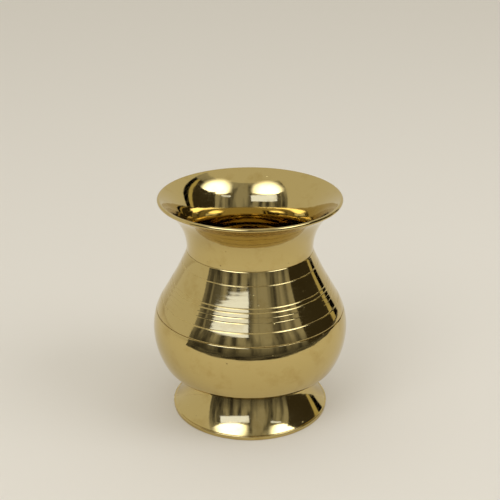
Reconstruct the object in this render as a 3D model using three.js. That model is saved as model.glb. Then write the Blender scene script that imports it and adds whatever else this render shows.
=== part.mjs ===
// A brass lota: a round-bellied water pot with a flared mouth, standing on a hollow flared foot.
// It is four turned shells, joined end to end by three thin rings of brazing metal.
// Millimetres, +Z up. The origin is the centre of the circle on which the foot stands.
import * as THREE from 'three';

// Driving dimensions
const HEIGHT = 100.8;
const WALL = 1.6;
const MOUTH_RADIUS = 40.15;
const NECK_RADIUS = 27.8;
const NECK_Z = 78;
const NECK_SEAM_Z = 77;
const BELLY_RADIUS = 43.4;
const BELLY_Z = 40;
const UPPER_BELLY_ARC = 27.3;
const LOWER_BELLY_ARC = 33;
const SHOULDER_Z = 54;
const SHOULDER_TOP_SLOPE = -0.3;
const BELLY_SEAM_Z = 49;
const LOWER_TURN_Z = 24;
const UNDERSIDE_PULL = 4;
const FOOT_SEAM_Z = 15.7;
const FOOT_NECK_RADIUS = 26.2;
const FOOT_RADIUS = 35.35;
const FOOT_EDGE_HEIGHT = 1.5;
const FOOT_EDGE_ROUND = 0.5;
const FOOT_WAIST_DEPTH = 2.1;
const FOOT_WAIST_Z = 7.7;
const FOOT_RIM_STEP = 0.7;
const FOOT_FLAT_WIDTH = 2.2;
const BRAZE_THICKNESS = 0.3;
const BRAZE_RECESS = 0.2;

// Turned lines on the shoulder: heights of their centres, with one width and one depth
const LINE_HEIGHTS = [54.3, 57.8, 59.7, 61.5, 63.1, 71.4];
const LINE_WIDTH = 0.5;
const LINE_DEPTH = 0.15;

// Steps along each curve and around the pot
const AROUND = 64;
const FLARE_STEPS = 8;
const LIP_STEPS = 5;
const SHOULDER_STEPS = 6;
const BELLY_STEPS = 6;
const UNDERSIDE_STEPS = 4;
const FOOT_STEPS = 6;
const EDGE_STEPS = 3;

const SEAM_HALF = BRAZE_THICKNESS / 2;
const QUARTER_TURN = Math.PI / 2;

const point = (r, z) => new THREE.Vector2(r, z);

// Points of a circular arc, from one angle to another, both ends included.
function arc(centre, radius, from, to, steps) {
  const points = [];
  for (let i = 0; i <= steps; i += 1) {
    const angle = from + ((to - from) * i) / steps;
    points.push(point(centre.x + radius * Math.cos(angle), centre.y + radius * Math.sin(angle)));
  }
  return points;
}

// Points of a smooth bend that leaves and reaches its ends along the lines to the pull point.
function bend(start, pull, end, steps) {
  return new THREE.QuadraticBezierCurve(start, pull, end).getPoints(steps);
}

// The same line moved sideways by a distance, to its left as it is walked.
function beside(points, distance) {
  return points.map((p, i) => {
    const before = points[Math.max(i - 1, 0)];
    const after = points[Math.min(i + 1, points.length - 1)];
    const along = after.clone().sub(before).normalize();
    return point(p.x - along.y * distance, p.y + along.x * distance);
  });
}

// A closed outline, walked up on the outside and down on the inside, turned round the upright axis.
function turned(name, outline, finish) {
  const loop = [...outline];
  const first = loop[0];
  const last = loop[loop.length - 1];
  if (first.x > 0 || last.x > 0) loop.push(first.clone());
  const geometry = new THREE.LatheGeometry(loop, AROUND);
  geometry.rotateX(QUARTER_TURN);
  const mesh = new THREE.Mesh(geometry, new THREE.MeshStandardMaterial(finish));
  mesh.name = name;
  return mesh;
}

// Mouth and neck: one hollow flare that ends in a rounded lip as thick as the wall.
// The flare's arc is level with the neck at its narrowest, and runs smoothly into the lip's circle.
const lipRound = WALL / 2;
const lipCentre = point(MOUTH_RADIUS - lipRound, HEIGHT - lipRound);
const flareReach = lipCentre.x - NECK_RADIUS;
const flareRise = lipCentre.y - NECK_Z;
const flareArc = (flareReach ** 2 + flareRise ** 2 - lipRound ** 2) / (2 * (flareReach + lipRound));
const flareCentre = point(NECK_RADIUS + flareArc, NECK_Z);
const flareEnd = Math.atan2(lipCentre.y - flareCentre.y, lipCentre.x - flareCentre.x);

// Radius of the flare's arc about its centre, read at a height near the neck.
function flareRadiusAt(z, radius) {
  return flareCentre.x - Math.sqrt(radius ** 2 - (z - flareCentre.y) ** 2);
}

// Angle on the flare's arc at a height near the neck.
function flareAngleAt(z, radius) {
  return Math.PI - Math.asin((z - flareCentre.y) / radius);
}

function mouthOutline() {
  const foot = NECK_SEAM_Z + SEAM_HALF;
  const outer = arc(flareCentre, flareArc, flareAngleAt(foot, flareArc), flareEnd, FLARE_STEPS);
  const lip = arc(lipCentre, lipRound, flareEnd - Math.PI, flareEnd, LIP_STEPS);
  const innerArc = flareArc + WALL;
  const inner = arc(flareCentre, innerArc, flareEnd, flareAngleAt(foot, innerArc), FLARE_STEPS);
  return [...outer, ...lip.slice(1, -1), ...inner];
}

// Shoulder and upper belly: a nearly straight shoulder that eases into the neck,
// and runs tangent into the upper arc of the belly.
const upperCentre = point(BELLY_RADIUS - UPPER_BELLY_ARC, BELLY_Z);
const lowerCentre = point(BELLY_RADIUS - LOWER_BELLY_ARC, BELLY_Z);

const arcAngleAt = (z, centre, radius) => Math.asin((z - centre.y) / radius);

function shoulderCurve() {
  const bottom = point(0, SHOULDER_Z);
  const angle = arcAngleAt(SHOULDER_Z, upperCentre, UPPER_BELLY_ARC);
  bottom.x = upperCentre.x + UPPER_BELLY_ARC * Math.cos(angle);
  const bottomSlope = -Math.tan(angle);
  const top = point(flareRadiusAt(NECK_SEAM_Z, flareArc), NECK_SEAM_Z - SEAM_HALF);
  const rise = (bottom.x - bottomSlope * bottom.y) - (top.x - SHOULDER_TOP_SLOPE * top.y);
  const pullZ = rise / (SHOULDER_TOP_SLOPE - bottomSlope);
  const pull = point(bottom.x + bottomSlope * (pullZ - bottom.y), pullZ);
  return new THREE.QuadraticBezierCurve(bottom, pull, top);
}

// A point of the shoulder at a height. The curve climbs steadily, so halving finds it.
function shoulderPoint(curve, z) {
  const HALVINGS = 40;
  let low = 0;
  let high = 1;
  for (let i = 0; i < HALVINGS; i += 1) {
    const middle = (low + high) / 2;
    if (curve.getPoint(middle).y < z) low = middle;
    else high = middle;
  }
  return curve.getPoint((low + high) / 2);
}

// Three points of a turned line: upper edge, bottom of the cut and lower edge, walked upwards.
function turnedLine(curve, z) {
  const bottom = shoulderPoint(curve, z);
  bottom.x -= LINE_DEPTH;
  const lower = shoulderPoint(curve, z - LINE_WIDTH / 2);
  const upper = shoulderPoint(curve, z + LINE_WIDTH / 2);
  return [lower, bottom, upper];
}

function upperBowlOutline() {
  const seam = BELLY_SEAM_Z + SEAM_HALF;
  const seamAngle = arcAngleAt(seam, upperCentre, UPPER_BELLY_ARC);
  const shoulderAngle = arcAngleAt(SHOULDER_Z, upperCentre, UPPER_BELLY_ARC);
  const belly = arc(upperCentre, UPPER_BELLY_ARC, seamAngle, shoulderAngle, 2);
  const curve = shoulderCurve();
  const plain = curve.getPoints(SHOULDER_STEPS);
  const nearLine = (p) => LINE_HEIGHTS.some((z) => Math.abs(p.y - z) < LINE_WIDTH);
  const lines = LINE_HEIGHTS.flatMap((z) => turnedLine(curve, z));
  const shoulder = [...plain.slice(1).filter((p) => !nearLine(p)), ...lines];
  shoulder.sort((a, b) => a.y - b.y);
  const outer = [...belly.slice(0, -1), ...shoulder];

  const smooth = [...belly.slice(0, -1), ...plain];
  const shifted = beside(smooth, WALL);
  const inner = shifted.filter((p) => p.y > seam + WALL / 2 && p.y < NECK_SEAM_Z - WALL);
  const topInner = point(flareRadiusAt(NECK_SEAM_Z, flareArc + WALL), NECK_SEAM_Z - SEAM_HALF);
  const innerAngle = arcAngleAt(seam, upperCentre, UPPER_BELLY_ARC - WALL);
  const bottomInner = point(upperCentre.x + (UPPER_BELLY_ARC - WALL) * Math.cos(innerAngle), seam);
  return [...outer, topInner, ...inner.reverse(), bottomInner];
}

// Lower belly: its arc falls to where the side turns under, and a bend carries it in to the foot.
// The base is a flat disc, on whose rim the foot sits.
function lowerBowlOutline() {
  const seam = BELLY_SEAM_Z - SEAM_HALF;
  const seat = FOOT_SEAM_Z + SEAM_HALF;
  const turnAngle = arcAngleAt(LOWER_TURN_Z, lowerCentre, LOWER_BELLY_ARC);
  const turn = arc(lowerCentre, LOWER_BELLY_ARC, turnAngle, turnAngle, 1)[0];
  const pull = point(turn.x + Math.tan(turnAngle) * UNDERSIDE_PULL, turn.y - UNDERSIDE_PULL);
  const under = bend(point(FOOT_NECK_RADIUS, seat), pull, turn, UNDERSIDE_STEPS);
  const lower = arc(lowerCentre, LOWER_BELLY_ARC, turnAngle, 0, BELLY_STEPS);
  const seamAngle = arcAngleAt(seam, upperCentre, UPPER_BELLY_ARC);
  const upper = arc(upperCentre, UPPER_BELLY_ARC, 0, seamAngle, 3);
  const outer = [...under, ...lower.slice(1), ...upper.slice(1)];

  const innerAngle = arcAngleAt(seam, upperCentre, UPPER_BELLY_ARC - WALL);
  const topInner = point(upperCentre.x + (UPPER_BELLY_ARC - WALL) * Math.cos(innerAngle), seam);
  const inner = beside(outer, WALL).filter((p) => p.y < seam - WALL / 2);
  const floor = seat + WALL;
  const floorEdge = point(inner[0].x, floor);
  const falling = inner.filter((p) => p.y > floor + SEAM_HALF).reverse();
  return [point(0, seat), ...outer, topInner, ...falling, floorEdge, point(0, floor)];
}

// Foot: a hollow flare that sweeps out from under the bowl to a small upright edge.
function footOutline() {
  const top = FOOT_SEAM_Z - SEAM_HALF;
  const sweepStart = point(FOOT_RADIUS - FOOT_RIM_STEP, FOOT_EDGE_HEIGHT + FOOT_EDGE_ROUND);
  const pull = point(FOOT_NECK_RADIUS + FOOT_WAIST_DEPTH, FOOT_WAIST_Z);
  const sweep = bend(sweepStart, pull, point(FOOT_NECK_RADIUS, top), FOOT_STEPS);
  const lowCentre = point(FOOT_RADIUS - FOOT_EDGE_ROUND, FOOT_EDGE_ROUND);
  const highCentre = point(FOOT_RADIUS - FOOT_EDGE_ROUND, FOOT_EDGE_HEIGHT);
  const lowRound = arc(lowCentre, FOOT_EDGE_ROUND, -QUARTER_TURN, 0, EDGE_STEPS);
  const highRound = arc(highCentre, FOOT_EDGE_ROUND, 0, QUARTER_TURN, EDGE_STEPS);
  const flatInner = FOOT_RADIUS - FOOT_EDGE_ROUND - FOOT_FLAT_WIDTH;
  const hollow = beside(sweep, WALL).filter((p) => p.x < flatInner && p.y < top - WALL / 2);
  const topInner = point(FOOT_NECK_RADIUS - WALL, top);
  return [...lowRound, ...highRound, ...sweep, topInner, ...hollow.reverse(), point(flatInner, 0)];
}

// A flat ring of brazing metal between two end faces, drawn back from both skins.
function brazeOutline(innerRadius, outerRadius, z) {
  const inner = innerRadius + BRAZE_RECESS;
  const outer = outerRadius - BRAZE_RECESS;
  const low = z - SEAM_HALF;
  const high = z + SEAM_HALF;
  return [point(outer, low), point(outer, high), point(inner, high), point(inner, low)];
}

const seamRadius = (radius) => {
  const angle = arcAngleAt(BELLY_SEAM_Z, upperCentre, radius);
  return upperCentre.x + radius * Math.cos(angle);
};

const BRASS = { color: 0xc9ae72, roughness: 0.12, metalness: 1 };
const FILLER = { color: 0xb89a55, roughness: 0.4, metalness: 1 };

const neckInner = flareRadiusAt(NECK_SEAM_Z, flareArc + WALL);
const neckOuter = flareRadiusAt(NECK_SEAM_Z, flareArc);
const bellyInner = seamRadius(UPPER_BELLY_ARC - WALL);
const bellyOuter = seamRadius(UPPER_BELLY_ARC);

const lota = new THREE.Group();
lota.add(turned('mouth_and_neck', mouthOutline(), BRASS));
lota.add(turned('upper_bowl', upperBowlOutline(), BRASS));
lota.add(turned('lower_bowl', lowerBowlOutline(), BRASS));
lota.add(turned('foot_ring', footOutline(), BRASS));
lota.add(turned('neck_braze', brazeOutline(neckInner, neckOuter, NECK_SEAM_Z), FILLER));
lota.add(turned('belly_braze', brazeOutline(bellyInner, bellyOuter, BELLY_SEAM_Z), FILLER));
lota.add(turned('foot_braze', brazeOutline(FOOT_NECK_RADIUS - WALL, FOOT_NECK_RADIUS, FOOT_SEAM_Z), FILLER));

export default lota;
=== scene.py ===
"""A polished brass lota on a pale floor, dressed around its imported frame."""

import logging
import math
from dataclasses import dataclass, field
from enum import Enum
from typing import Any, Callable, Iterable

import bpy
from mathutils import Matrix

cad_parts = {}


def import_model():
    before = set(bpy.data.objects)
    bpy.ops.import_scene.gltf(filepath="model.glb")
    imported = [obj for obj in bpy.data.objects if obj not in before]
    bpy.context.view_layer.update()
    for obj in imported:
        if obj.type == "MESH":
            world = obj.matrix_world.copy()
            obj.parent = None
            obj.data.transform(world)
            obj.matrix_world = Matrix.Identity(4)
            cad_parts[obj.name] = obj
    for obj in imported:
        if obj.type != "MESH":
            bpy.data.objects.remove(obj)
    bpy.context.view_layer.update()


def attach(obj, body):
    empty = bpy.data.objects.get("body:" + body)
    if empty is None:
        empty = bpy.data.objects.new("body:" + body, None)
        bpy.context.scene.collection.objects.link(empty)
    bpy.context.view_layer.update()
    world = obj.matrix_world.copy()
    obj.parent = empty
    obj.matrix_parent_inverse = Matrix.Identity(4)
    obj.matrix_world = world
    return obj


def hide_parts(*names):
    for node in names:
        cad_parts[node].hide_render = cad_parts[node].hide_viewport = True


LOG = logging.getLogger("lota")
MM = 0.001
Profile = list[tuple[float, float]]


class Hidden(Enum):
    """Which rays a stage card is kept from."""

    NOTHING = "nothing"
    ALL_BUT_GLOSS = "all_but_gloss"


def linear(hex_colour: str) -> tuple[float, float, float, float]:
    """Turns an sRGB hex colour to linear RGBA.

    Args:
        hex_colour: Six hex digits, with or without a leading #.

    Returns:
        Linear red, green, blue and an alpha of 1.
    """
    digits = hex_colour.lstrip("#")
    parts = [int(digits[i:i + 2], 16) / 255 for i in (0, 2, 4)]
    lin = [c / 12.92 if c <= 0.04045 else ((c + 0.055) / 1.055) ** 2.4 for c in parts]
    return (lin[0], lin[1], lin[2], 1.0)


def per_metre(size_mm: float) -> float:
    """Gives the texture scale at which one feature is this many millimetres wide."""
    return 1.0 / (size_mm * MM)


def add_node(tree: bpy.types.NodeTree, kind: str, links: dict[Any, Any] | None = None,
             **settings: Any) -> bpy.types.Node:
    """Adds one node with its settings, input values and incoming links.

    Args:
        tree: The node tree that takes the node.
        kind: The node's type name.
        links: Input socket to an output socket, or to a plain value.
        settings: Attributes set on the node itself.

    Returns:
        The new node.
    """
    node = tree.nodes.new(kind)
    for name, value in settings.items():
        setattr(node, name, value)
    for socket, source in (links or {}).items():
        if isinstance(source, bpy.types.NodeSocket):
            tree.links.new(source, node.inputs[socket])
        else:
            node.inputs[socket].default_value = source
    return node


def new_material(name: str) -> tuple[bpy.types.Material, bpy.types.NodeTree]:
    """Makes an empty node material.

    Args:
        name: The material's name.

    Returns:
        The material and its node tree.
    """
    material = bpy.data.materials.new(name)
    material.use_nodes = True
    material.node_tree.nodes.clear()
    return material, material.node_tree


@dataclass(frozen=True)
class PolishedBrass:
    """Cast brass, turned and buffed: sharp warm reflections, faint lathe rings, hairlines and a few pits."""

    colour: str = "#C8B376"
    tarnish: str = "#AD904B"
    rough_low: float = 0.035
    rough_high: float = 0.13
    lathe_ring_mm: float = 0.9
    wobble_mm: float = 16.0
    hairline_mm: float = 0.35
    pit_mm: float = 6.5
    tarnish_mm: float = 9.0
    tarnish_most: float = 0.55
    hair_stretch: float = 0.06
    wobble_depth_mm: float = 0.5
    ring_depth_mm: float = 0.02
    hair_depth_mm: float = 0.02
    pit_depth_mm: float = 0.15

    def build(self, name: str) -> bpy.types.Material:
        """Makes the material.

        Args:
            name: The material's name.

        Returns:
            The finished material.
        """
        material, tree = new_material(name)
        place = add_node(tree, "ShaderNodeTexCoord").outputs["Object"]
        cloud = add_node(tree, "ShaderNodeTexNoise", {
            "Vector": place, "Scale": per_metre(self.tarnish_mm), "Detail": 6.0, "Roughness": 0.62})
        stain = add_node(tree, "ShaderNodeMapRange", {
            "Value": cloud.outputs["Fac"], "From Min": 0.52, "From Max": 0.78,
            "To Max": self.tarnish_most})
        tint = add_node(tree, "ShaderNodeMix", data_type="RGBA")
        tree.links.new(stain.outputs["Result"], tint.inputs["Factor"])
        tint.inputs["A"].default_value = linear(self.colour)
        tint.inputs["B"].default_value = linear(self.tarnish)
        # Hairlines from the buffing wheel run round the pot, so the noise is stretched that way.
        stretched = add_node(tree, "ShaderNodeMapping", {
            "Vector": place, "Scale": (self.hair_stretch, self.hair_stretch, 1.0)})
        hair = add_node(tree, "ShaderNodeTexNoise", {
            "Vector": stretched.outputs["Vector"], "Scale": per_metre(self.hairline_mm), "Detail": 3.0})
        rough = add_node(tree, "ShaderNodeMapRange", {
            "Value": hair.outputs["Fac"], "From Min": 0.35, "From Max": 0.75,
            "To Min": self.rough_low, "To Max": self.rough_high})
        # The cutting tool leaves shallow rings, and hand polishing a slow wobble.
        rings = add_node(tree, "ShaderNodeTexWave", {
            "Vector": place, "Scale": per_metre(self.lathe_ring_mm) / (2 * math.pi), "Distortion": 0.6,
            "Detail": 1.0}, wave_type="BANDS", bands_direction="Z")
        wobble = add_node(tree, "ShaderNodeTexNoise", {
            "Vector": place, "Scale": per_metre(self.wobble_mm), "Detail": 2.0})
        pits = add_node(tree, "ShaderNodeTexVoronoi", {
            "Vector": place, "Scale": per_metre(self.pit_mm), "Randomness": 1.0})
        pit_depth = add_node(tree, "ShaderNodeMapRange", {
            "Value": pits.outputs["Distance"], "From Min": 0.02, "From Max": 0.06})
        slow = add_node(tree, "ShaderNodeBump", {
            "Height": wobble.outputs["Fac"], "Strength": 0.25, "Distance": self.wobble_depth_mm * MM})
        turned = add_node(tree, "ShaderNodeBump", {
            "Height": rings.outputs["Fac"], "Strength": 0.12, "Distance": self.ring_depth_mm * MM,
            "Normal": slow.outputs["Normal"]})
        scratched = add_node(tree, "ShaderNodeBump", {
            "Height": hair.outputs["Fac"], "Strength": 0.1, "Distance": self.hair_depth_mm * MM,
            "Normal": turned.outputs["Normal"]})
        pitted = add_node(tree, "ShaderNodeBump", {
            "Height": pit_depth.outputs["Result"], "Strength": 0.5, "Distance": self.pit_depth_mm * MM,
            "Normal": scratched.outputs["Normal"]})
        shader = add_node(tree, "ShaderNodeBsdfPrincipled", {
            "Base Color": tint.outputs["Result"], "Metallic": 1.0,
            "Roughness": rough.outputs["Result"], "Normal": pitted.outputs["Normal"]})
        add_node(tree, "ShaderNodeOutputMaterial", {"Surface": shader.outputs["BSDF"]})
        return material


@dataclass(frozen=True)
class BrazingBrass:
    """Brazing brass as it sets in a seam: duller and darker than the buffed skin, with a fine crust."""

    colour: str = "#A98A4A"
    dark: str = "#5E4A22"
    crust_mm: float = 1.2

    def build(self, name: str) -> bpy.types.Material:
        """Makes the material.

        Args:
            name: The material's name.

        Returns:
            The finished material.
        """
        material, tree = new_material(name)
        place = add_node(tree, "ShaderNodeTexCoord").outputs["Object"]
        crust = add_node(tree, "ShaderNodeTexNoise", {
            "Vector": place, "Scale": per_metre(self.crust_mm), "Detail": 4.0})
        tint = add_node(tree, "ShaderNodeMix", data_type="RGBA")
        tree.links.new(crust.outputs["Fac"], tint.inputs["Factor"])
        tint.inputs["A"].default_value = linear(self.dark)
        tint.inputs["B"].default_value = linear(self.colour)
        bump = add_node(tree, "ShaderNodeBump", {
            "Height": crust.outputs["Fac"], "Strength": 0.4, "Distance": 0.1 * MM})
        shader = add_node(tree, "ShaderNodeBsdfPrincipled", {
            "Base Color": tint.outputs["Result"], "Metallic": 1.0, "Roughness": 0.42,
            "Normal": bump.outputs["Normal"]})
        add_node(tree, "ShaderNodeOutputMaterial", {"Surface": shader.outputs["BSDF"]})
        return material


@dataclass(frozen=True)
class PaintedReflectionCard:
    """A painted reflection: a glowing sheet of one plain colour and brightness, which only the metal
    mirrors.
    """

    colour: str
    strength: float

    def build(self, name: str) -> bpy.types.Material:
        """Makes the card's material, which shines evenly.

        Args:
            name: The material's name.

        Returns:
            The finished material.
        """
        material, tree = new_material(name)
        glow = add_node(tree, "ShaderNodeEmission", {
            "Color": linear(self.colour), "Strength": self.strength})
        add_node(tree, "ShaderNodeOutputMaterial", {"Surface": glow.outputs["Emission"]})
        return material


@dataclass(frozen=True)
class PaintedRoomReflection:
    """A painted reflection of the dim room beyond the tent, a glowing sheet that only the metal mirrors:
    upright streaks, and painted dark things low down.
    """

    deep: str = "#1D1915"
    light: str = "#D8D5D0"
    streak_mm: float = 160.0
    low_mm: float = 330.0
    ceiling_low_mm: float = 1100.0
    ceiling_high_mm: float = 1800.0

    def build(self, name: str) -> bpy.types.Material:
        """Makes the card's material.

        Args:
            name: The material's name.

        Returns:
            The finished material.
        """
        material, tree = new_material(name)
        place = add_node(tree, "ShaderNodeTexCoord").outputs["Object"]
        # Painted reflection: streaks, darker towards the bottom and brighter towards the top.
        upright = add_node(tree, "ShaderNodeMapping", {"Vector": place, "Scale": (1.0, 1.0, 0.12)})
        streaks = add_node(tree, "ShaderNodeTexNoise", {
            "Vector": upright.outputs["Vector"], "Scale": per_metre(self.streak_mm), "Detail": 3.0})
        height = add_node(tree, "ShaderNodeSeparateXYZ", {"Vector": place})
        low = add_node(tree, "ShaderNodeMapRange", {
            "Value": height.outputs["Z"], "From Min": 0.0, "From Max": self.low_mm * MM,
            "To Min": 0.3, "To Max": 1.0})
        tone = add_node(tree, "ShaderNodeMapRange", {
            "Value": streaks.outputs["Fac"], "From Min": 0.36, "From Max": 0.56,
            "To Min": 0.15, "To Max": 1.0})
        mixed = add_node(tree, "ShaderNodeMath", {
            0: tone.outputs["Result"], 1: low.outputs["Result"]}, operation="MULTIPLY")
        ceiling = add_node(tree, "ShaderNodeMapRange", {
            "Value": height.outputs["Z"], "From Min": self.ceiling_low_mm * MM,
            "From Max": self.ceiling_high_mm * MM}, interpolation_type="SMOOTHSTEP")
        lifted = add_node(tree, "ShaderNodeMath", {
            0: mixed.outputs["Value"], 1: ceiling.outputs["Result"]}, operation="MAXIMUM")
        tint = add_node(tree, "ShaderNodeMix", data_type="RGBA")
        tree.links.new(lifted.outputs["Value"], tint.inputs["Factor"])
        tint.inputs["A"].default_value = linear(self.deep)
        tint.inputs["B"].default_value = linear(self.light)
        glow = add_node(tree, "ShaderNodeEmission", {"Color": tint.outputs["Result"], "Strength": 0.6})
        add_node(tree, "ShaderNodeOutputMaterial", {"Surface": glow.outputs["Emission"]})
        return material


@dataclass(frozen=True)
class PaintedLampHighlight:
    """A painted highlight that stands for a lamp behind cloth: bright in the middle and fading to nothing at
    its edge, in metres.
    """

    edge: float
    colour: str = "#E6ECFF"
    strength: float = 5.5
    fade: float = 0.45

    def build(self, name: str) -> bpy.types.Material:
        """Makes the glow's material.

        Args:
            name: The material's name.

        Returns:
            The finished material.
        """
        material, tree = new_material(name)
        place = add_node(tree, "ShaderNodeTexCoord").outputs["Object"]
        away = add_node(tree, "ShaderNodeVectorMath", {0: place}, operation="LENGTH")
        solid = add_node(tree, "ShaderNodeMapRange", {
            "Value": away.outputs["Value"], "From Min": self.edge * self.fade, "From Max": self.edge,
            "To Min": 1.0, "To Max": 0.0}, interpolation_type="SMOOTHSTEP")
        clear = add_node(tree, "ShaderNodeBsdfTransparent")
        glow = add_node(tree, "ShaderNodeEmission", {
            "Color": linear(self.colour), "Strength": self.strength})
        mixed = add_node(tree, "ShaderNodeMixShader", {
            0: solid.outputs["Result"], 1: clear.outputs["BSDF"], 2: glow.outputs["Emission"]})
        add_node(tree, "ShaderNodeOutputMaterial", {"Surface": mixed.outputs["Shader"]})
        return material


@dataclass(frozen=True)
class PaintedFloor:
    """A matt painted board, pale and plain so that the shadow and the pot stand out."""

    colour: str = "#E6E2DA"
    roughness: float = 0.85

    def build(self, name: str) -> bpy.types.Material:
        """Makes the floor's material.

        Args:
            name: The material's name.

        Returns:
            The finished material.
        """
        material, tree = new_material(name)
        shader = add_node(tree, "ShaderNodeBsdfPrincipled", {
            "Base Color": linear(self.colour), "Roughness": self.roughness})
        add_node(tree, "ShaderNodeOutputMaterial", {"Surface": shader.outputs["BSDF"]})
        return material


def arc(centre: tuple[float, float], radius: float, start: float, end: float, steps: int) -> Profile:
    """Walks a circular arc.

    Args:
        centre: Radius and height of the arc's centre, in millimetres.
        radius: The arc's radius.
        start: First angle in radians.
        end: Last angle in radians.
        steps: Number of equal steps.

    Returns:
        Points as radius and height.
    """
    angles = [start + (end - start) * i / steps for i in range(steps + 1)]
    return [(centre[0] + radius * math.cos(a), centre[1] + radius * math.sin(a)) for a in angles]


def bend(start: tuple[float, float], pull: tuple[float, float], end: tuple[float, float],
         steps: int) -> Profile:
    """Walks a smooth bend that leaves and reaches its ends along the lines to the pull point.

    Args:
        start: First point.
        pull: The point that both end directions aim at.
        end: Last point.
        steps: Number of steps.

    Returns:
        Points as radius and height.
    """
    points = []
    for i in range(steps + 1):
        t = i / steps
        weights = ((1 - t) ** 2, 2 * t * (1 - t), t * t)
        points.append(tuple(sum(w * p[k] for w, p in zip(weights, (start, pull, end))) for k in (0, 1)))
    return points


def beside(points: Profile, distance: float) -> Profile:
    """Moves a line sideways, to its left as it is walked.

    Args:
        points: The line's points.
        distance: How far it moves, in the same unit.

    Returns:
        The moved line, with as many points.
    """
    moved = []
    for i, (r, z) in enumerate(points):
        before = points[max(i - 1, 0)]
        after = points[min(i + 1, len(points) - 1)]
        dr, dz = after[0] - before[0], after[1] - before[1]
        size = math.hypot(dr, dz)
        moved.append((r - dz / size * distance, z + dr / size * distance))
    return moved


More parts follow.
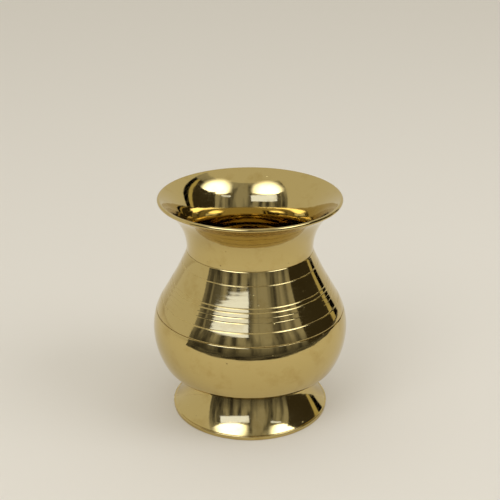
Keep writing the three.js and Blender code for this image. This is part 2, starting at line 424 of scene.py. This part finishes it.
@dataclass
class LotaForm:
    """The pot's outline in millimetres, the same sizes as in the construction model."""

    height: float = 100.8
    wall: float = 1.6
    mouth_radius: float = 40.15
    neck_radius: float = 27.8
    neck_z: float = 78.0
    neck_seam_z: float = 77.0
    belly_radius: float = 43.4
    belly_z: float = 40.0
    upper_belly_arc: float = 27.3
    lower_belly_arc: float = 33.0
    shoulder_z: float = 54.0
    shoulder_top_slope: float = -0.3
    belly_seam_z: float = 49.0
    lower_turn_z: float = 24.0
    underside_pull: float = 4.0
    foot_seam_z: float = 15.7
    foot_neck_radius: float = 26.2
    foot_radius: float = 35.35
    foot_edge_height: float = 1.5
    foot_edge_round: float = 0.5
    foot_waist_depth: float = 2.1
    foot_waist_z: float = 7.7
    foot_rim_step: float = 0.7
    foot_flat_width: float = 2.2
    braze_thickness: float = 0.3
    clear_lines: tuple[float, ...] = (54.3, 61.5, 63.1, 71.4)
    faint_lines: tuple[float, ...] = (57.8, 59.7)
    line_width: float = 0.5
    line_depth: float = 0.15
    faint_depth: float = 0.05
    seam_edge: float = 0.8
    fine: int = 48

    def __post_init__(self) -> None:
        """Works out the arcs that the driving sizes give."""
        self.seam_half = self.braze_thickness / 2
        self.lip_round = self.wall / 2
        self.lip_centre = (self.mouth_radius - self.lip_round, self.height - self.lip_round)
        reach = self.lip_centre[0] - self.neck_radius
        rise = self.lip_centre[1] - self.neck_z
        self.flare_arc = (reach ** 2 + rise ** 2 - self.lip_round ** 2) / (2 * (reach + self.lip_round))
        self.flare_centre = (self.neck_radius + self.flare_arc, self.neck_z)
        self.flare_end = math.atan2(self.lip_centre[1] - self.flare_centre[1],
                                    self.lip_centre[0] - self.flare_centre[0])
        self.upper_centre = (self.belly_radius - self.upper_belly_arc, self.belly_z)
        self.lower_centre = (self.belly_radius - self.lower_belly_arc, self.belly_z)

    def flare_radius(self, z: float, radius: float) -> float:
        """Gives the pot's radius on the flare's arc, of this radius, at a height near the neck."""
        return self.flare_centre[0] - math.sqrt(radius ** 2 - (z - self.flare_centre[1]) ** 2)

    def belly_angle(self, z: float, centre: tuple[float, float], radius: float) -> float:
        """Gives the angle on a belly arc at a height."""
        return math.asin((z - centre[1]) / radius)

    def mouth(self) -> Profile:
        """Returns the closed outline of the mouth and neck."""
        low = self.neck_seam_z + self.seam_half
        inner_arc = self.flare_arc + self.wall

        def start(radius: float) -> float:
            """Gives the arc's angle at the neck's end face."""
            return math.pi - math.asin((low - self.flare_centre[1]) / radius)

        outer = arc(self.flare_centre, self.flare_arc, start(self.flare_arc), self.flare_end, self.fine)
        lip = arc(self.lip_centre, self.lip_round, self.flare_end - math.pi, self.flare_end, 20)
        inner = arc(self.flare_centre, inner_arc, self.flare_end, start(inner_arc), self.fine)
        return [*outer, *lip[1:-1], *inner]

    def shoulder(self) -> Profile:
        """Returns the shoulder's outer line, walked upwards, without its turned lines."""
        angle = self.belly_angle(self.shoulder_z, self.upper_centre, self.upper_belly_arc)
        bottom = (self.upper_centre[0] + self.upper_belly_arc * math.cos(angle), self.shoulder_z)
        slope = -math.tan(angle)
        top = (self.flare_radius(self.neck_seam_z, self.flare_arc), self.neck_seam_z - self.seam_half)
        rise = (bottom[0] - slope * bottom[1]) - (top[0] - self.shoulder_top_slope * top[1])
        pull_z = rise / (self.shoulder_top_slope - slope)
        pull = (bottom[0] + slope * (pull_z - bottom[1]), pull_z)
        return bend(bottom, pull, top, self.fine * 8)

    def cut(self, z: float) -> float:
        """Works out the depth that the turned lines take from the skin.

        Args:
            z: The height on the pot, in millimetres.

        Returns:
            The depth in millimetres, 0 between the lines.
        """
        cuts = [(line, self.line_width, self.line_depth) for line in self.clear_lines]
        cuts += [(line, self.line_width, self.faint_depth) for line in self.faint_lines]
        cuts += [(seam, self.seam_edge, self.line_depth) for seam in (self.belly_seam_z, self.neck_seam_z)]
        depth = 0.0
        for line, width, deep in cuts:
            away = abs(z - line) / (width / 2)
            if away < 1:
                depth = max(depth, deep * (1 + math.cos(math.pi * away)) / 2)
        return depth

    def upper_bowl(self) -> Profile:
        """Returns the closed outline of the shoulder and upper belly."""
        seam = self.belly_seam_z + self.seam_half
        seam_angle = self.belly_angle(seam, self.upper_centre, self.upper_belly_arc)
        top_angle = self.belly_angle(self.shoulder_z, self.upper_centre, self.upper_belly_arc)
        belly = arc(self.upper_centre, self.upper_belly_arc, seam_angle, top_angle, self.fine)
        plain = [*belly[:-1], *self.shoulder()]
        outer = [(r - self.cut(z), z) for r, z in plain]
        inner_top = (self.flare_radius(self.neck_seam_z, self.flare_arc + self.wall),
                     self.neck_seam_z - self.seam_half)
        inner_radius = self.upper_belly_arc - self.wall
        angle = self.belly_angle(seam, self.upper_centre, inner_radius)
        inner_low = (self.upper_centre[0] + inner_radius * math.cos(angle), seam)
        moved = beside(plain, self.wall)[::8]
        inner = [p for p in moved if seam + 0.3 < p[1] < self.neck_seam_z - self.wall]
        return [*outer, inner_top, *reversed(inner), inner_low]

    def lower_bowl(self) -> Profile:
        """Returns the outline of the lower belly and base, which starts and ends on the axis."""
        seam = self.belly_seam_z - self.seam_half
        seat = self.foot_seam_z + self.seam_half
        turn_angle = self.belly_angle(self.lower_turn_z, self.lower_centre, self.lower_belly_arc)
        turn = (self.lower_centre[0] + self.lower_belly_arc * math.cos(turn_angle), self.lower_turn_z)
        pull = (turn[0] + math.tan(turn_angle) * self.underside_pull, turn[1] - self.underside_pull)
        under = bend((self.foot_neck_radius, seat), pull, turn, self.fine)
        lower = arc(self.lower_centre, self.lower_belly_arc, turn_angle, 0.0, self.fine)
        seam_angle = self.belly_angle(seam, self.upper_centre, self.upper_belly_arc)
        upper = arc(self.upper_centre, self.upper_belly_arc, 0.0, seam_angle, self.fine)
        plain = [*under, *lower[1:], *upper[1:]]
        outer = [(r - self.cut(z), z) for r, z in plain]
        inner_radius = self.upper_belly_arc - self.wall
        angle = self.belly_angle(seam, self.upper_centre, inner_radius)
        inner_top = (self.upper_centre[0] + inner_radius * math.cos(angle), seam)
        moved = beside(plain, self.wall)
        floor = seat + self.wall
        inner = [p for p in moved if floor + 0.05 < p[1] < seam - 0.3]
        corner = (moved[0][0], floor)
        base = [(corner[0] * (1 - i / 12), floor) for i in range(13)]
        rim = [(self.foot_neck_radius * i / 12, seat) for i in range(12)]
        return [*rim, *outer, inner_top, *reversed(inner), *base]

    def foot(self) -> Profile:
        """Returns the closed outline of the hollow foot."""
        top = self.foot_seam_z - self.seam_half
        start = (self.foot_radius - self.foot_rim_step, self.foot_edge_height + self.foot_edge_round)
        pull = (self.foot_neck_radius + self.foot_waist_depth, self.foot_waist_z)
        sweep = bend(start, pull, (self.foot_neck_radius, top), self.fine)
        quarter = math.pi / 2
        edge = self.foot_radius - self.foot_edge_round
        low = arc((edge, self.foot_edge_round), self.foot_edge_round, -quarter, 0.0, 10)
        high = arc((edge, self.foot_edge_height), self.foot_edge_round, 0.0, quarter, 10)
        flat_inner = edge - self.foot_flat_width
        hollow = [p for p in beside(sweep, self.wall) if p[0] < flat_inner and p[1] < top - 0.3]
        return [*low, *high, *sweep, (self.foot_neck_radius - self.wall, top), *reversed(hollow),
                (flat_inner, 0.0)]


def revolve(name: str, outline: Profile, around: int = 256) -> bpy.types.Object:
    """Turns an outline round the upright axis into a closed smooth mesh.

    Args:
        name: The new object's name.
        outline: Points as radius and height in millimetres, up the outside and down the inside.
        around: Number of steps round the axis.

    Returns:
        The new object, linked to the scene.
    """
    on_axis = outline[0][0] < 1e-6
    ring_points = outline[1:-1] if on_axis else outline
    vertices: list[tuple[float, float, float]] = []
    for step in range(around):
        angle = 2 * math.pi * step / around
        vertices += [(r * MM * math.cos(angle), r * MM * math.sin(angle), z * MM) for r, z in ring_points]
    count = len(ring_points)
    faces: list[tuple[int, ...]] = []
    for step in range(around):
        here, there = step * count, (step + 1) % around * count
        spans = range(count - 1) if on_axis else range(count)
        faces += [(here + i, there + i, there + (i + 1) % count, here + (i + 1) % count) for i in spans]
    if on_axis:
        low, high = len(vertices), len(vertices) + 1
        vertices += [(0.0, 0.0, outline[0][1] * MM), (0.0, 0.0, outline[-1][1] * MM)]
        for step in range(around):
            here, there = step * count, (step + 1) % around * count
            faces.append((low, there, here))
            faces.append((high, here + count - 1, there + count - 1))
    mesh = bpy.data.meshes.new(name)
    mesh.from_pydata(vertices, [], faces)
    mesh.update()
    mesh.shade_smooth()
    mesh.set_sharp_from_angle(angle=math.radians(38))
    piece = bpy.data.objects.new(name, mesh)
    bpy.context.scene.collection.objects.link(piece)
    return piece


@dataclass
class Shells:
    """The four turned shells of the pot, each of which stands for its CAD node."""

    form: LotaForm = field(default_factory=LotaForm)
    finish: PolishedBrass = field(default_factory=PolishedBrass)

    def outlines(self) -> dict[str, Callable[[], Profile]]:
        """Returns each shell's node name with the method that draws its outline."""
        return {"mouth_and_neck": self.form.mouth, "upper_bowl": self.form.upper_bowl,
                "lower_bowl": self.form.lower_bowl, "foot_ring": self.form.foot}

    def build(self) -> Iterable[bpy.types.Object]:
        """Builds and dresses the shells.

        Returns:
            The finished pieces.
        """
        material = self.finish.build("polished_brass")
        pieces = []
        for node, outline in self.outlines().items():
            piece = revolve(node + "_fine", outline())
            piece.data.materials.append(material)
            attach(piece, "root")
            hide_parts(node)
            pieces.append(piece)
        return pieces


@dataclass
class BrazedSeams:
    """The three rings of brazing metal, which keep their CAD shape."""

    nodes: tuple[str, ...] = ("neck_braze", "belly_braze", "foot_braze")
    finish: BrazingBrass = field(default_factory=BrazingBrass)

    def build(self) -> Iterable[bpy.types.Object]:
        """Dresses the rings and returns them."""
        material = self.finish.build("brazing_brass")
        pieces = []
        for node in self.nodes:
            piece = bpy.data.objects[node]
            if not piece.material_slots:
                piece.data.materials.append(material)
            for slot in piece.material_slots:
                slot.material = material
            pieces.append(piece)
        return pieces


@dataclass
class Studio:
    """A pale floor, a light tent with a painted dark open front, painted reflections of the room, and two
    soft lamps with painted highlights.
    """

    tent_colour: str = "#D9D5CB"
    floor_size: float = 6.0
    front_left_deg: float = -73.0
    front_right_deg: float = 130.0
    front_top: float = 1.9
    tent_radius: float = 0.9
    dark_reflection_start: float = 0.232
    dark_reflection_start_growth: float = 0.7
    sheet_lift: float = 0.0006
    card_share: float = 0.95
    post_top: float = 1.3
    lamp_power: float = 2.6
    lamp_size: float = 0.6
    glow_size: float = 0.54
    lamp_far: float = 1.2
    lamp_height_deg: float = 46.5
    lamp_left_deg: float = -36.0
    lamp_right_deg: float = 70.0

    def place(self, name: str, vertices: list[tuple[float, float, float]],
              faces: list[tuple[int, ...]], material: bpy.types.Material,
              hidden: Hidden) -> bpy.types.Object:
        """Adds one stage mesh.

        Args:
            name: The object's name.
            vertices: Corner points in metres.
            faces: Corner numbers of each face.
            material: The material it takes.
            hidden: Which rays it is kept from.

        Returns:
            The new object.
        """
        mesh = bpy.data.meshes.new(name)
        mesh.from_pydata(vertices, [], faces)
        mesh.materials.append(material)
        sheet = bpy.data.objects.new(name, mesh)
        bpy.context.scene.collection.objects.link(sheet)
        if hidden is Hidden.ALL_BUT_GLOSS:
            sheet.visible_camera = False
            sheet.visible_diffuse = False
            sheet.visible_transmission = False
            sheet.visible_shadow = False
        return sheet

    def sheet(self, azimuths: tuple[float, float], rings: list[tuple[float, float]],
              steps: int = 24) -> tuple[list[tuple[float, float, float]], list[tuple[int, ...]]]:
        """Makes a curved sheet round the pot.

        Args:
            azimuths: First and last azimuth in degrees, 0 towards the viewer, more to the right.
            rings: Distance from the axis and height, in metres, of each row of points.
            steps: Number of steps round.

        Returns:
            The vertices and faces.
        """
        vertices = []
        for i in range(steps + 1):
            turn = math.radians(azimuths[0] + (azimuths[1] - azimuths[0]) * i / steps)
            vertices += [(r * math.sin(turn), -r * math.cos(turn), z) for r, z in rings]
        rows = len(rings)
        faces = [(i * rows + j, (i + 1) * rows + j, (i + 1) * rows + j + 1, i * rows + j + 1)
                 for i in range(steps) for j in range(rows - 1)]
        return vertices, faces

    def build(self) -> None:
        """Builds the floor, the painted reflection cards, the lamps with their painted highlights, and the
        world.
        """
        half = self.floor_size / 2
        corners = [(-half, -half, 0.0), (half, -half, 0.0), (half, half, 0.0), (-half, half, 0.0)]
        self.place("floor", corners, [(0, 1, 2, 3)], PaintedFloor().build("painted_floor"), Hidden.NOTHING)
        # Painted reflection: a dark glowing sheet in front, seen only by the metal, stands for the tent's
        # open front.
        front = (self.front_left_deg, self.front_right_deg)
        dark = PaintedRoomReflection().build("dark_front")
        rows = [(self.dark_reflection_start, self.sheet_lift), (self.tent_radius, self.sheet_lift),
                (self.tent_radius, self.front_top)]
        vertices, faces = self.sheet(front, rows)
        # The painted dark reflection starts further from the pot at its sides than in the middle, so the
        # white board reaches further there in the metal.
        for i in range(0, len(vertices), len(rows)):
            x, y, z = vertices[i]
            turn = math.atan2(x, -y) / (math.pi / 2)
            wider = 1.0 + self.dark_reflection_start_growth * turn * turn
            vertices[i] = (x * wider, y * wider, z)
        self.place("dark_front", vertices, faces, dark, Hidden.ALL_BUT_GLOSS)
        # Painted reflections: bluish glowing sheets, seen only by the metal, standing for bright daylight
        # panes.
        painted_daylight_reflection = PaintedReflectionCard("#BECBFF", 2.6).build("window")
        self.card("window", (-52.0, -2.0), (0.5, 0.75), painted_daylight_reflection)
        self.card("small_window", (37.0, 56.0), (0.68, 0.73), painted_daylight_reflection)
        # Painted reflections: a dark sheet, a yellow strip and a black strip, seen only by the metal.
        self.card("dark_side", (68.0, 114.0), (0.0, self.post_top), PaintedReflectionCard("#4E4738", 0.6).build("dark_side"))
        self.card("yellow_post", (114.0, 121.0), (0.0, self.post_top),
                  PaintedReflectionCard("#DCCF9A", 0.8).build("yellow_post"))
        self.card("black_post", (121.0, self.front_right_deg), (0.0, self.post_top),
                  PaintedReflectionCard("#0C0A06", 0.5).build("black_post"))
        self.lamp("lamp_left", self.lamp_left_deg)
        self.lamp("lamp_right", self.lamp_right_deg)
        self.world()

    def card(self, name: str, azimuths: tuple[float, float], heights: tuple[float, float],
             material: bpy.types.Material) -> None:
        """Hangs one painted reflection card just inside the tent, a glowing sheet for the metal to mirror.

        Args:
            name: The card's name.
            azimuths: First and last azimuth in degrees.
            heights: Its lower and upper edge in metres.
            material: The material it takes.
        """
        near = self.tent_radius * self.card_share
        rows = [(near, z) for z in heights]
        self.place(name, *self.sheet(azimuths, rows), material, Hidden.ALL_BUT_GLOSS)

    def lamp(self, name: str, turn_deg: float) -> None:
        """Adds a soft square lamp that looks at the pot.

        Args:
            name: The lamp's name.
            turn_deg: Its azimuth in degrees, 0 towards the viewer, more to the right.
        """
        data = bpy.data.lights.new(name, "AREA")
        data.energy = self.lamp_power
        data.size = self.lamp_size
        lamp = bpy.data.objects.new(name, data)
        rise, turn = math.radians(self.lamp_height_deg), math.radians(turn_deg)
        flat = self.lamp_far * math.cos(rise)
        lamp.location = (flat * math.sin(turn), -flat * math.cos(turn), self.lamp_far * math.sin(rise))
        lamp.rotation_euler = (math.pi / 2 - rise, 0.0, turn)
        # The lamp is kept out of reflections; a painted highlight stands in its place.
        lamp.visible_glossy = False
        bpy.context.scene.collection.objects.link(lamp)
        self.glow(name + "_glow", lamp)

    def glow(self, name: str, lamp: bpy.types.Object) -> None:
        """Adds a painted highlight: the soft round glowing patch that only the metal mirrors, in the lamp's
        place.

        Args:
            name: The patch's name.
            lamp: The lamp that it stands for.
        """
        half = self.glow_size
        corners = [(-half, -half, 0.0), (half, -half, 0.0), (half, half, 0.0), (-half, half, 0.0)]
        material = PaintedLampHighlight(edge=half).build(name)
        patch = self.place(name, corners, [(0, 1, 2, 3)], material, Hidden.ALL_BUT_GLOSS)
        patch.location = lamp.location
        patch.rotation_euler = lamp.rotation_euler

    def world(self) -> None:
        """Sets the tent: one pale warm cloth, the same to the eye, in the metal and on the floor."""
        world = bpy.data.worlds.new("tent")
        bpy.context.scene.world = world
        world.use_nodes = True
        tree = world.node_tree
        tree.nodes.clear()
        cloth = add_node(tree, "ShaderNodeBackground", {
            "Color": linear(self.tent_colour), "Strength": 1.0})
        add_node(tree, "ShaderNodeOutputWorld", {"Surface": cloth.outputs["Background"]})


@dataclass
class Viewpoint:
    """Where the photograph was taken from, for an image of 500 by 500 pixels."""

    distance_mm: float = 435.4
    height_mm: float = 256.2
    down_deg: float = 22.54
    focal_px: float = 1071.3
    image_px: float = 500.0
    sensor_mm: float = 36.0

    def build(self) -> None:
        """Adds the camera and makes it the scene's own."""
        data = bpy.data.cameras.new("viewer")
        data.sensor_width = self.sensor_mm
        data.lens = self.focal_px * self.sensor_mm / self.image_px
        camera = bpy.data.objects.new("viewer", data)
        camera.location = (0.0, -self.distance_mm * MM, self.height_mm * MM)
        camera.rotation_euler = (math.radians(90 - self.down_deg), 0.0, 0.0)
        bpy.context.scene.collection.objects.link(camera)
        bpy.context.scene.camera = camera


def main() -> None:
    """Builds the pot, its seams, the studio and the camera."""
    logging.basicConfig(level=logging.INFO)
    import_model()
    for builder in (Shells(), BrazedSeams()):
        for piece in builder.build():
            LOG.info("%s: %d vertices", piece.name, len(piece.data.vertices))
    Studio().build()
    Viewpoint().build()
    bpy.context.scene.view_settings.view_transform = "Standard"


if __name__ == "__main__":
    main()
